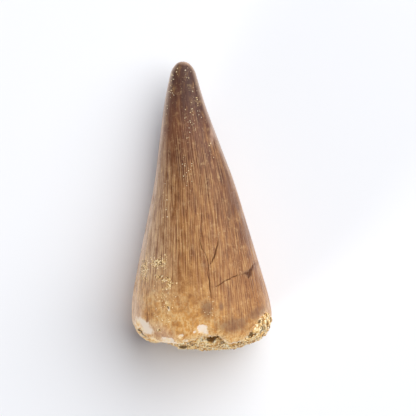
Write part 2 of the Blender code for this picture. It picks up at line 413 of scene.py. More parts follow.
def in_patches(points, patches):
    """How far into the nearest oval patch points are: 1 in its middle, 0 at its edge, less outside."""
    deepest = np.full(len(points), OUTSIDE)
    for centre, (half_x, half_y), turn in patches:
        off = points[:, :2] - centre
        c, s = math.cos(math.radians(turn)), math.sin(math.radians(turn))
        turned = np.c_[off[:, 0] * c + off[:, 1] * s, off[:, 1] * c - off[:, 0] * s]
        deepest = np.maximum(deepest, 1 - np.hypot(turned[:, 0] / half_x, turned[:, 1] / half_y))
    return deepest


def mesh_object(name, points, faces, attributes):
    """A mesh from points in millimetres, with an attribute on its points for each named array."""
    mesh = bpy.data.meshes.new(name)
    mesh.from_pydata((points * MM).tolist(), [], faces)
    for key, values in attributes.items():
        kind, field = ("FLOAT_VECTOR", "vector") if values.ndim == 2 else ("FLOAT", "value")
        layer = mesh.attributes.new(key, kind, "POINT")
        layer.data.foreach_set(field, values.astype(np.float32).ravel())
    mesh.shade_smooth()
    mesh.update()
    piece = bpy.data.objects.new(name, mesh)
    bpy.context.scene.collection.objects.link(piece)
    return piece


def move_points(piece, points):
    """Puts a mesh's points at places in millimetres."""
    piece.data.vertices.foreach_set("co", (points * MM).astype(np.float32).ravel())
    piece.data.update()


def stack_faces(rings, columns):
    """Quads between rings of points, and a fan of triangles to the two end points, which come last."""
    ring = np.arange(columns)
    after = (ring + 1) % columns
    faces = []
    for row in range(rings - 1):
        upper, lower = row * columns, (row + 1) * columns
        faces += np.c_[upper + ring, upper + after, lower + after, lower + ring].tolist()
    first, last = rings * columns, rings * columns + 1
    bottom = (rings - 1) * columns
    faces += np.c_[np.full(columns, first), after, ring].tolist()
    faces += np.c_[np.full(columns, last), bottom + ring, bottom + after].tolist()
    return faces


def crown_rows():
    """Shares of the way from the tip to where the rim starts to round over."""
    rounded = WORN_TIP / CROWN_LENGTH
    tip = rounded * (np.arange(1, TIP_ROWS + 1) / TIP_ROWS) ** 2
    upper = np.linspace(rounded, UPPER_SHARE, UPPER_ROWS + 1)[1:]
    return np.r_[tip, upper, np.linspace(UPPER_SHARE, 1, LOWER_ROWS + 1)[1:]]


def crown_points(shift):
    """The crown's rings of points and its faces, and what the marks and the wrinkles follow at each point.

    "lane" is a point's place in the pattern of growth, and "to_rim" its way to the broken rim.
    """
    angles = np.r_[evenly_spaced(0, math.pi, COLUMNS_UP), evenly_spaced(math.pi, FULL_TURN, COLUMNS_DOWN)]
    x, z = section(angles)
    steps = np.hypot(np.diff(np.r_[x, x[0]]), np.diff(np.r_[z, z[0]]))
    lengths = np.r_[0, np.cumsum(steps)[:-1]]
    top, bottom = lengths[:COLUMNS_UP], lengths[COLUMNS_UP:]
    from_middle = np.r_[top.mean() - top, bottom - bottom.mean()]
    fine = np.c_[x, z, np.full(len(x), 5.0)] * BASE_HALF_WIDTH
    rims = CROWN_LENGTH + rim_depth(angles)
    for height, size in RIM_TEETH:
        rims = rims + height * noise_at(fine, size)
    inner = 1 - RIM_ROUND_SHARE
    shares, downs = [], []
    for row in crown_rows():
        shares.append(1.0)
        downs.append(row * (rims - RIM_ROUND_HEIGHT))
    for turn in np.linspace(0, math.pi / 2, RIM_ROWS + 1)[1:]:
        shares.append(1 - RIM_ROUND_SHARE * (1 - math.cos(turn)))
        downs.append(rims - RIM_ROUND_HEIGHT * (1 - math.sin(turn)))
    for across in np.linspace(0, 1, WALL_ROWS + 1)[1:]:
        shares.append(inner - across * (inner - CAVITY_MOUTH))
        downs.append(rims - WALL_SLOPE * across)
    apex = CROWN_LENGTH - CAVITY_DEPTH
    mouth = np.minimum(rims, CROWN_LENGTH) - CAVITY_LIP
    for along in CAVITY_ROWS:
        shares.append(CAVITY_MOUTH * (1 - along) ** CAVITY_TAPER)
        downs.append(mouth + (apex - mouth) * along)
    rows = len(shares)
    share, down = np.repeat(shares, len(x)), np.concatenate(downs)
    sx, sz = np.tile(x, rows) * share, np.tile(z, rows) * share
    points = inside(sx, sz, down)
    up = (sz > 0) & (share > inner - 0.001)
    uneven = np.ones(len(points))
    uneven[up] += RELIEF * noise_at(points[up], RELIEF_SIZE) * sz[up] / RISE
    points = inside(sx * uneven, sz * uneven, down)
    ends = inside(np.zeros(2), np.zeros(2), np.array([0.0, apex]))
    width = half_width(np.maximum(down, TIP_START))
    spread = BASE_HALF_WIDTH * (width / BASE_HALF_WIDTH) ** WRINKLE_SPREAD
    lane = np.c_[np.tile(from_middle, rows) * spread, down, np.where(sz > 0, 0.0, OTHER_FACE)]
    return {
        "points": np.r_[points, ends] + shift,
        "faces": stack_faces(rows, len(x)),
        "lane": np.r_[lane, [[0.0, 0.0, 0.0], [0.0, apex, 0.0]]],
        "flank": np.r_[sx, 0.0, 0.0],
        "from_edge": np.r_[(1 - np.abs(sx)) * width, 1.0, 1.0],
        "to_rim": np.r_[np.tile(rims, rows) - down, CROWN_LENGTH, CAVITY_DEPTH],
        "wall": np.r_[share < inner + 0.001, False, True],
        "upper": np.r_[smooth_step(-0.15, 0.15, sz), 0.5, 0.5],
    }


def point_normals(piece):
    normals = np.zeros(len(piece.data.vertices) * 3, np.float32)
    piece.data.vertices.foreach_get("normal", normals)
    return normals.reshape(-1, 3).astype(float)


def mark_crown(parts):
    """What the enamel's finish and the carving of its surface read at each point."""
    points, to_rim = parts["points"], parts["to_rim"]
    upper = (parts["upper"] > 0.5) | (to_rim < 1.5)
    wobble = 0.16 * noise_at(points, 0.8) + 0.08 * noise_at(points, 0.3)
    sway = np.c_[noise_at(points, 1.3), noise_at(points + 50.0, 1.3), np.zeros(len(points))]
    # The enamel ends in a ragged line a little above the broken rim.
    mean, varied, size = BARE_RIM
    ragged = mean + varied * noise_at(parts["lane"] * [1, 0.35, 1], size) + wobble
    to_bare = to_rim - np.maximum(ragged, LEAST_BARE_RIM)
    flaked = -in_patches(points + 0.25 * sway, FLAKED) + 1.5 * wobble
    to_bare = np.minimum(np.where(upper, flaked, -OUTSIDE), to_bare)
    marks = {
        "from_crack": np.where(upper, from_cracks(points + 0.16 * sway), FAR),
        "to_bare": np.where(parts["wall"], -1.0, to_bare),
    }
    for key, patches, swayed in (
        ("stain", STAINED, 0.3),
        ("shaded", SHADED, 0.3),
        ("worn", WORN_AND_LIT, 0.3),
        ("smoothed", SMOOTHED, 0.8),
        ("crust", CRUSTED, 0.3),
        ("sprinkle", SPRINKLED, 0.3),
    ):
        marks[key] = np.where(upper, in_patches(points + swayed * sway, patches), OUTSIDE)
    return marks


def new_tree(name, inputs):
    """An empty tree of geometry nodes with some named inputs, and what its input node gives."""
    tree = bpy.data.node_groups.new(name, "GeometryNodeTree")
    for label, kind in (("Geometry", "Geometry"), *inputs):
        tree.interface.new_socket(label, in_out="INPUT", socket_type="NodeSocket" + kind)
    tree.interface.new_socket("Geometry", in_out="OUTPUT", socket_type="NodeSocketGeometry")
    return tree, add(tree, "NodeGroupInput", give=None)


def end_tree(tree, geometry, material):
    """Makes a tree's instances real, gives them a material and hands them out."""
    real = add(tree, "GeometryNodeRealizeInstances", {"Geometry": geometry})
    dressed = add(tree, "GeometryNodeSetMaterial", {"Geometry": real, "Material": material})
    add(tree, "NodeGroupOutput", {0: dressed}, give=None)
    return tree


def wrinkle_tree():
    """Carves the enamel's wrinkles along "lane": two pitches take turns, and the wrinkles fade in places."""
    inputs = (("Wrinkle pitch", "Float"), ("Wrinkle height", "Float"), ("Material", "Material"))
    tree, given = new_tree("enamel wrinkles", inputs)
    lane = add(tree, NAMED, {"Name": "lane"}, data_type="FLOAT_VECTOR")
    to_rim, bare, smoothed = (
        add(tree, NAMED, {"Name": key}, data_type="FLOAT") for key in ("to_rim", "to_bare", "smoothed")
    )
    sideways, down, _ = add(tree, SEPARATE, {0: lane}, give=None)
    noises = []
    for per_mm, detail in (((0.22, 0.05, 1.0), 2.0), ((1.3, 0.20, 1.0), 3.0), ((0.35, 0.09, 1.0), 2.0)):
        scaled = add(tree, VECTOR_MATH, {0: lane, 1: per_mm}, operation="MULTIPLY")
        noises.append(add(tree, NOISE, {"Vector": scaled, "Scale": 1.0, "Detail": detail}))
    swaying, breaks, turns = noises
    sway = add(tree, MATH, {0: swaying, 1: 4.0}, operation="MULTIPLY")
    metres = add(tree, MATH, {0: sideways, 1: MM}, operation="MULTIPLY")
    phase = add(tree, MATH, {0: metres, 1: given["Wrinkle pitch"]}, operation="DIVIDE")
    waves = []
    for share in (1.0, 0.68):
        count = add(tree, MATH, {0: phase, 1: share, 2: sway}, operation="MULTIPLY_ADD")
        turn = add(tree, MATH, {0: count, 1: FULL_TURN}, operation="MULTIPLY")
        waves.append(add(tree, MATH, {0: turn}, operation="SINE"))
    ranges = []
    for follows, start, full, low in (
        (turns, 0.44, 0.56, 0.0),  # where the wider pitch takes over
        (breaks, 0.36, 0.62, 0.10),  # wrinkles break off and start again
        (down, 4.0, 18.0, 0.10),  # the tip is smooth
        (to_rim, 1.0, 4.5, 0.30),
        (bare, -0.1, 0.3, 0.0),
        (smoothed, 0.5, -0.15, 0.30),
    ):
        ranges.append(add(tree, MAP_RANGE, {0: follows, 1: start, 2: full, 3: low, 4: 1.0}, clamp=True))
    wider, depth, *fades = ranges
    wave = add(tree, MIX, {0: wider, 2: waves[0], 3: waves[1]}, data_type="FLOAT")
    for fade in fades:
        depth = add(tree, MATH, {0: depth, 1: fade}, operation="MULTIPLY")
    wrinkle = add(tree, MATH, {0: wave, 1: depth}, operation="MULTIPLY")
    # The crests stay where the smooth crown is, and the furrows go in.
    carve = add(tree, MATH, {0: wrinkle, 1: depth}, operation="SUBTRACT")
    for factor in (0.5, given["Wrinkle height"]):
        carve = add(tree, MATH, {0: carve, 1: factor}, operation="MULTIPLY")
    normal = add(tree, "GeometryNodeInputNormal")
    offset = add(tree, VECTOR_MATH, {0: normal, "Scale": carve}, operation="SCALE")
    kept = add(tree, STORE, {"Geometry": given["Geometry"], "Name": "wrinkle", "Value": wrinkle})
    moved = add(tree, "GeometryNodeSetPosition", {"Geometry": kept, "Offset": offset})
    return end_tree(tree, moved, given["Material"])


def made_real(piece, tree, inputs):
    """Runs a node tree on a piece and leaves the result as its plain mesh."""
    modifier = piece.modifiers.new(tree.name, "NODES")
    modifier.node_group = tree
    for item in tree.interface.items_tree:
        if item.in_out == "INPUT" and item.name in inputs:
            modifier[item.identifier] = inputs[item.name]
    graph = bpy.context.evaluated_depsgraph_get()
    mesh = bpy.data.meshes.new_from_object(piece.evaluated_get(graph), depsgraph=graph)
    mesh.name = piece.name
    piece.modifiers.clear()
    piece.data = mesh
    return piece


# ---------------------------------------------------------------- finishes


def new_material(name):
    material = bpy.data.materials.new(name)
    material.use_nodes = True
    return material, material.node_tree, material.node_tree.nodes["Principled BSDF"]


def layered(tree, colour, layers):
    """A colour with others laid over it, each as strongly as what it follows is between two values."""
    for blend, follows, start, full, tint, strength in layers:
        amount = add(tree, MAP_RANGE, {0: follows, 1: start, 2: full, 3: 0.0, 4: strength}, clamp=True)
        links = {0: amount, 6: colour, 7: tint}
        colour = add(tree, MIX, links, give=2, data_type="RGBA", blend_type=blend)
    return colour


def fossil_enamel(look):
    """Fossil enamel, a fluorapatite stained brown and polished by burial.

    It gives the eye pale crests with painted highlight, furrows with painted shade, and edges pale from wear
    and a painted sheen. Where it has flaked off, the dentine under it
    shows: cream, chalky and without gloss.
    """
    material, tree, shader = new_material("fossil enamel on dentine")
    lane = add(tree, ATTRIBUTE, give="Vector", attribute_name="lane")
    place = add(tree, "ShaderNodeTexCoord", give="Object")
    place = add(tree, VECTOR_MATH, {0: place, "Scale": 1 / MM}, operation="SCALE")
    marks = {
        key: add(tree, ATTRIBUTE, give="Fac", attribute_name=key)
        for key in (
            *("from_crack", "to_bare", "stain", "shaded", "worn", "smoothed", "crust"),
            *("to_rim", "wrinkle", "flank", "from_edge"),
        )
    }
    flank, to_rim = marks["flank"], marks["to_rim"]
    down = add(tree, SEPARATE, {0: lane}, give="Y")

    # Noises, by how many of their features fit in a millimetre across, along and through the tooth. Real
    # fibres and specks are finer still, and are drawn just coarse enough to show.
    noises = {}
    for key, vector, per_mm, detail in (
        ("blotches", place, (0.24, 0.16, 0.24), 4.0),
        ("tongues", lane, (0.45, 0.07, 1.0), 4.0),
        ("mottle", lane, (0.70, 0.35, 1.0), 5.0),
        ("streaks", lane, (1.5, 0.22, 1.0), 4.0),
        ("fibres", lane, (3.0, 0.32, 1.0), 3.0),
        ("clouds", place, (0.80, 0.80, 0.80), 5.0),
        ("clumps", place, (1.7, 1.7, 1.7), 4.0),
        ("blooms", place, (0.85, 0.70, 0.85), 5.0),
        ("speckle", place, (3.2, 3.2, 3.2), 3.0),
    ):
        scaled = add(tree, VECTOR_MATH, {0: vector, 1: per_mm}, operation="MULTIPLY")
        noises[key] = add(tree, NOISE, {"Vector": scaled, "Scale": 1.0, "Detail": detail, "Roughness": 0.6})

    # Lengthwise streaks fade out at the smooth tip, towards the rim and where wear has smoothed the crown.
    for follows, start, full in ((to_rim, 10.0, 2.0), (down, 18.0, 4.0), (marks["smoothed"], -0.15, 0.5)):
        faded = add(tree, MAP_RANGE, {0: follows, 1: start, 2: full, 3: 0.0, 4: 0.75}, clamp=True)
        for key in ("streaks", "fibres"):
            noises[key] = add(tree, MIX, {0: faded, 2: noises[key], 3: 0.5}, data_type="FLOAT")
    clouds, speckle, tongues = noises["clouds"], noises["speckle"], noises["tongues"]
    mottle, streaks, fibres = noises["mottle"], noises["streaks"], noises["fibres"]

    # Dark at the tip and amber towards the base, with the change drawn out into tongues
    drift = add(tree, MATH, {0: noises["blotches"], 1: 8.0, 2: -4.0}, operation="MULTIPLY_ADD")
    drift = add(tree, MATH, {0: tongues, 1: 12.0, 2: drift}, operation="MULTIPLY_ADD")
    tinted = add(tree, MATH, {0: down, 1: drift}, operation="ADD")
    tinted = add(tree, MAP_RANGE, {0: tinted, 1: 6.0, 2: 56.0})
    stops = (
        (0.10, look.tip_colour),
        (0.24, look.upper_colour),
        (0.44, look.middle_colour),
        (0.70, look.lower_colour),
        (0.92, look.base_colour),
    )
    colour = add(tree, RAMP, {0: tinted}, stops)

    # Painted light with dust: the left flank, turned from the lamps, is lightened towards the base. Both
    # cutting edges are pale from wear and from a painted sheen.
    dust_and_light = add(tree, MATH, {0: flank, 1: down}, operation="MULTIPLY")
    for found, reach in ((clouds, -8.0), (streaks, -18.0)):
        dust_and_light = add(tree, MATH, {0: found, 1: reach, 2: dust_and_light}, operation="MULTIPLY_ADD")
    edge_sheen_and_wear = add(tree, MATH, {0: flank, 1: 0.12}, operation="SUBTRACT")
    edge_sheen_and_wear = add(tree, MATH, {0: edge_sheen_and_wear}, operation="ABSOLUTE")
    edge_sheen_and_wear = add(tree, MATH, {0: tongues, 1: 0.3, 2: edge_sheen_and_wear}, operation="MULTIPLY_ADD")
    amber = add(tree, MATH, {0: flank, 1: 5.0, 2: to_rim}, operation="MULTIPLY_ADD")
    amber = add(tree, MATH, {0: clouds, 1: -12.0, 2: amber}, operation="MULTIPLY_ADD")
    stops = (
        (0.34, look.base_colour),
        (0.46, look.rim_colour),
        (0.54, look.pale_rim),
        (0.62, look.rim_colour),
    )
    amber_enamel = add(tree, RAMP, {0: noises["blooms"]}, stops)
    layers = (
        # (how it is laid on, what it follows, its value where this starts and is full, colour, strength)
        # painted light with dust on the left flank, which faces away from the lamps
        ("MIX", dust_and_light, -22.0, -52.0, look.dust_and_light_colour, 0.95),
        # painted shade: the right flank is darkened and greyed towards its edge
        ("MULTIPLY", flank, 0.2, 0.8, look.flank_shade_tint, 1.0),
        # wear and painted sheen along both edges, as a band of colour
        ("MIX", edge_sheen_and_wear, 0.96, 1.36, look.wear_and_light_colour, 0.32),
        # painted sheen on a thin line along the edges seen from above
        ("MIX", marks["from_edge"], 0.75, 0.10, look.wear_and_light_colour, 0.40),
        ("MIX", amber, 3.5, -4.5, amber_enamel, 0.85),
        # painted shade over the broad shaded zones
        ("MULTIPLY", marks["shaded"], 0.0, 1.0, look.flank_shade_tint, 1.0),
        # worn pale patches, those on the lower left also painted light
        ("MIX", marks["worn"], 0.0, 0.8, look.wear_and_light_colour, 0.50),
        ("MULTIPLY", mottle, 0.52, 0.32, look.shade_tint, 0.55),
        ("MIX", mottle, 0.53, 0.72, look.gold_streak, 0.35),
        ("MULTIPLY", streaks, 0.52, 0.32, look.shade_tint, 0.70),
        ("MIX", streaks, 0.55, 0.72, look.gold_streak, 0.25),
        ("MULTIPLY", fibres, 0.52, 0.34, look.shade_tint, 0.65),
        ("MIX", fibres, 0.55, 0.70, look.pale_streak_and_highlight, 0.35),
        # painted shade in the wrinkles' furrows and painted highlight on their crests
        ("MULTIPLY", marks["wrinkle"], 0.0, -0.8, look.shade_tint, 0.55),
        ("MIX", marks["wrinkle"], 0.1, 1.0, look.pale_streak_and_highlight, 0.32),
        ("MULTIPLY", clouds, 0.44, 0.30, look.shade_tint, 0.25),
        ("MIX", clouds, 0.56, 0.72, look.pale_streak_and_highlight, 0.30),
        ("MIX", speckle, 0.62, 0.74, look.dentine_colour, 0.28),
        ("MULTIPLY", speckle, 0.38, 0.28, look.shade_tint, 0.60),
    )
    colour = layered(tree, colour, layers)

    # Dentine is honey-coloured where it broke with the rim, and chalky where a flake of enamel came off it.
    stops = ((0.36, look.rim_colour), (0.47, look.dentine_colour), (0.60, look.pale_dentine))
    dentine = add(tree, RAMP, {0: clouds}, stops)
    dentine = layered(tree, dentine, [("MIX", to_rim, 0.9, 1.8, look.pale_dentine, 1.0)])
    stops = (
        (0.42, look.dark_grain_and_shade),
        (0.49, look.sand_colour),
        (0.56, look.pale_grain),
        (0.64, look.quartz_colour),
    )
    grainy = add(tree, RAMP, {0: speckle}, stops)
    masks = {}
    for key, marked, tint, start, full, strength, noised, ragged in (
        # (mark, what it reads, colour, where it starts and is full, strength, and what breaks up its edge)
        ("crumbs", to_rim, look.dentine_colour, 0.9, 0.1, 0.60, speckle, -4.0),
        ("bare", marks["to_bare"], dentine, 0.16, -0.16, 1.0, speckle, -0.9),
        ("stain", marks["stain"], look.stain_colour, 0.0, 0.5, 0.60, clouds, 1.2),
        ("crust", marks["crust"], grainy, 0.30, 0.60, 0.85, noises["clumps"], 4.0),
        ("crack", marks["from_crack"], look.crack_colour, 2.0, 0.8, 0.90, speckle, -1.2),
    ):
        edge = add(tree, MATH, {0: noised, 1: 0.5}, operation="SUBTRACT")
        edge = add(tree, MATH, {0: edge, 1: ragged, 2: marked}, operation="MULTIPLY_ADD")
        masks[key] = add(tree, MAP_RANGE, {0: edge, 1: start, 2: full, 3: 0.0, 4: strength}, clamp=True)
        colour = add(tree, MIX, {0: masks[key], 6: colour, 7: tint}, give=2, data_type="RGBA")

    # Burial polish: enamel is glassier than dentine, and furrows hold dust.
    gloss = add(tree, MAP_RANGE, {0: streaks, 1: 0.3, 2: 0.7, 3: 0.44, 4: 0.60})
    for key, roughness in (("bare", 0.78), ("crust", 0.8), ("crack", 0.9)):
        gloss = add(tree, MIX, {0: masks[key], 2: gloss, 3: roughness}, data_type="FLOAT")
    height = add(tree, MATH, {0: fibres, 1: 0.8, 2: speckle}, operation="MULTIPLY_ADD")
    bump = add(tree, "ShaderNodeBump", {"Height": height, "Strength": 0.5, "Distance": 0.08 * MM})
    links = {
        "Base Color": colour,
        "Roughness": gloss,
        "Normal": bump,
        "IOR": 1.6,
        "Specular IOR Level": 0.22,  # fine weathering dulls it
        "Sheen Weight": 1.0,  # a bloom of fine dust, palest where seen edge-on
        "Sheen Roughness": 0.32,
        "Sheen Tint": look.bloom_colour,
    }
    connect(tree, shader, links)
    return material


def phosphate_sandstone(look):
    """Sandy phosphate rock, weakly cemented: pale quartz and tan lumps, hollows, pits and crevices darkened
    as painted shade, and no gloss.
    """
    material, tree, shader = new_material("phosphate sandstone")
    place = add(tree, "ShaderNodeTexCoord", give="Object")
    hollow_shade = add(tree, ATTRIBUTE, give="Fac", attribute_name="hollow_shade")
    links = {"Vector": place, "Scale": ROCK_LUMPS, "Randomness": 1.0}
    lumps = add(tree, "ShaderNodeTexVoronoi", links, give=None)
    broad = add(tree, NOISE, {"Vector": place, "Scale": ROCK_PATCHES, "Detail": 5.0})
    tone = add(tree, "ShaderNodeSeparateColor", {0: lumps["Color"]})
    tone = add(tree, MATH, {0: broad, 1: 1.6, 2: tone}, operation="MULTIPLY_ADD")
    tone = add(tree, MAP_RANGE, {0: tone, 1: 0.78, 2: 1.72})
    stops = (
        (0.0, look.rock_shadow),
        (0.35, look.sand_colour),
        (0.65, look.pale_grain),
        (1.0, look.quartz_colour),
    )
    layers = (
        # painted shade in the crevices between lumps
        ("MIX", lumps["Distance"], 0.45, 0.85, look.rock_shadow, 0.6),
        # painted shade in hollows, in pits by the wall and in the slit
        ("MIX", hollow_shade, 0.22, 0.68, look.dark_grain_and_shade, 0.90),
    )
    colour = layered(tree, add(tree, RAMP, {0: tone}, stops), layers)
    bump = add(tree, "ShaderNodeBump", {"Height": broad, "Strength": 0.8, "Distance": 0.2 * MM})
    # Loose and porous, so the painted shade in pits keeps its colour
    links = {"Base Color": colour, "Roughness": 0.85, "Normal": bump, "Specular IOR Level": 0.1}
    connect(tree, shader, links)
    return material


def loose_sand(look):
    """Grains of quartz and phosphate: each has one colour, from its own number, and a dull glassy face."""
    material, tree, shader = new_material("quartz and phosphate sand")
    tone = add(tree, ATTRIBUTE, give="Fac", attribute_name="tone")
    stops = (
        (0.0, look.dark_grain_and_shade),
        (0.12, look.rock_shadow),
        (0.30, look.sand_colour),
        (0.70, look.pale_grain),
        (1.0, look.quartz_colour),
    )
    colour = add(tree, RAMP, {0: tone}, stops)
    connect(tree, shader, {"Base Color": colour, "Roughness": 0.42, "IOR": 1.54})
    return material


# ---------------------------------------------------------------- the rock


def rock_points(shift):
    """The rock's outside: a short hidden plug, what lies against the broken wall, and the swelling past it.

    With it come which points are shown, and how far each is from the wall's inner edge.
    """
    half = ROCK_OUTLINE // 2
    around = np.r_[evenly_spaced(0, math.pi, half), evenly_spaced(math.pi, FULL_TURN, half), FULL_TURN]
    places = np.linspace(0, 1, ROCK_OUTLINE + 1)
    angles = np.interp(np.arange(ROCK_COLUMNS) / ROCK_COLUMNS, places, around)
    x, z = section(angles)
    rims = rim_depth(angles)
    neck = CAVITY_MOUTH - ROCK_GAP_SHARE
    edges = np.ones(len(x))
    searching = np.ones(len(x), bool)
    while searching.any():
        short = rock_depth(x * edges, z * edges) < rims + ROCK_BELOW_RIM
        searching = searching & short & (edges > neck)
        edges = np.where(searching, edges - ROCK_EDGE_STEP, edges)
    blur = np.hanning(ROCK_EDGE_BLUR)
    half = ROCK_EDGE_BLUR // 2
    edges = np.convolve(np.r_[edges[-half:], edges, edges[:half]], blur / blur.sum(), "valid")
    shares, depths = [], []
    for share, depth in ROCK_PLUG:
        shares.append(np.full(len(x), share))
        depths.append(np.minimum(rims, 0.0) + depth)
    for along in ROCK_WALL_ROWS:
        share = neck + (edges - neck) * along
        shares.append(share)
        against_wall = rock_depth(x * share, z * share) - ROCK_WALL_LEVEL
        depths.append(np.minimum(rims - ROCK_BELOW_RIM, against_wall))
    round_height, round_share = ROCK_EDGE_ROUND
    for row in range(ROCK_ROWS):
        share = edges * (1 - (row / ROCK_ROWS) ** ROCK_ROW_SPREAD)
        # The swelling's edge is rounded over instead of meeting the wall at a corner.
        rounded = round_height * (1 - smooth_step(0, round_share, 1 - share / edges)) ** 2
        shares.append(share)
        depths.append(rock_depth(x * share, z * share) - rounded)
    rows = len(shares)
    share, depth = np.concatenate(shares), np.concatenate(depths)
    points = inside(np.tile(x, rows) * share, np.tile(z, rows) * share, CROWN_LENGTH + depth)
    middle = np.zeros(1)
    depths = np.r_[ROCK_PLUG_END, rock_depth(middle, middle)]
    ends = inside(np.zeros(2), np.zeros(2), CROWN_LENGTH + depths)
    hidden_rows = len(ROCK_PLUG) + 1
    shown = np.r_[(np.arange(rows) >= hidden_rows).repeat(len(x)) * 1.0, 0.0, 1.0]
    off_wall = np.r_[BASE_HALF_WIDTH * (np.tile(edges, rows) - share), -OUTSIDE, -OUTSIDE]
    return np.r_[points, ends] + shift, stack_faces(rows, len(x)), shown, off_wall


def roughen_rock(rock, points, shown, off_wall):
    """Raises lumps on the rock that is shown, and gives back how much painted shade each point takes from
    hollows, pits and slits.
    """
    lumpy = sum(height * noise_at(points, size) for height, size in ROCK_ROUGHNESS)
    roughened = points + point_normals(rock) * (shown * (lumpy + ROCK_LIFT))[:, None]
    roughened[:, 2] = np.maximum(roughened[:, 2], ROCK_LIFT)
    move_points(rock, roughened)
    # Painted shade: most dark pits lie next to the wall, in the shade under the broken rim's edge.
    pit_shade = noise_at(points + 20.0, 0.7) + 0.5 * noise_at(points + 40.0, 1.8)
    pit_shade *= 1.5 * (1 - 0.7 * smooth_step(0.4, 3.0, off_wall))
    slits = np.where(points[:, 2] > SLIT_HEIGHT, in_patches(points, SLIT_SHADOWS), 0.0)
    hollow_shade = np.maximum(np.maximum(-1.6 * lumpy, pit_shade), slits)
    rock.data.attributes["hollow_shade"].data.foreach_set("value", hollow_shade.astype(np.float32))
    return hollow_shade


def sand_tree():
    """Scatters angular grains over a surface, most thickly where "grit" is 1."""
    inputs = (
        ("Grains per square metre", "Float"),
        ("Smallest grain", "Float"),
        ("Largest grain", "Float"),
        ("Darkest tone", "Float"),
        ("Seed", "Int"),
        ("Material", "Material"),
    )
    tree, given = new_tree("scattered sand", inputs)
    grit = add(tree, NAMED, {"Name": "grit"}, data_type="FLOAT")
    density = add(tree, MATH, {0: grit, 1: given["Grains per square metre"]}, operation="MULTIPLY")
    links = {"Mesh": given["Geometry"], "Density": density, "Seed": given["Seed"]}
    points = add(tree, "GeometryNodeDistributePointsOnFaces", links, distribute_method="RANDOM")
    tone = add(tree, RANDOM, {2: given["Darkest tone"], 3: 1.0, "Seed": 5}, give=1, data_type="FLOAT")
    toned = add(tree, STORE, {"Geometry": points, "Name": "tone", "Value": tone})
    sizes = {2: given["Smallest grain"], 3: given["Largest grain"], "Seed": 9}
    size = add(tree, RANDOM, sizes, give=1, data_type="FLOAT")
    stretch = add(tree, RANDOM, {0: (0.65,) * 3, 1: (1.15,) * 3, "Seed": 2}, data_type="FLOAT_VECTOR")
    size = add(tree, VECTOR_MATH, {0: stretch, "Scale": size}, operation="SCALE")
    turn = add(tree, RANDOM, {0: (0.0,) * 3, 1: (FULL_TURN,) * 3, "Seed": 3}, data_type="FLOAT_VECTOR")
    grain = add(tree, "GeometryNodeMeshIcoSphere", {"Radius": 0.5, "Subdivisions": 1})
    links = {"Points": toned, "Instance": grain, "Rotation": turn, "Scale": size}
    return end_tree(tree, add(tree, "GeometryNodeInstanceOnPoints", links), given["Material"])


def scatter_sand(name, ground, grit, per_square_mm, sizes, darkest, seed, material):
    """A piece of loose grains on a copy of a surface, as thick as grit says at each of its points."""
    piece = bpy.data.objects.new(name, ground.data.copy())
    bpy.context.scene.collection.objects.link(piece)
    layer = piece.data.attributes.new("grit", "FLOAT", "POINT")
    layer.data.foreach_set("value", np.clip(grit, 0, 1).astype(np.float32))
    inputs = {
        "Grains per square metre": per_square_mm / MM**2,
        "Smallest grain": sizes[0] * MM,
        "Largest grain": sizes[1] * MM,
        "Darkest tone": darkest,
        "Seed": seed,
        "Material": material,
    }
    return made_real(piece, sand_tree(), inputs)


# ---------------------------------------------------------------- what a user would change


def colour_property(name, value, description):
    settings = {"size": 4, "subtype": "COLOR", "min": 0.0, "max": 1.0}
    return FloatVectorProperty(name=name, description=description, default=linear(value), **settings)


def length_property(name, value, description):
    return FloatProperty(name=name, description=description, default=value, min=0.0, unit="LENGTH")


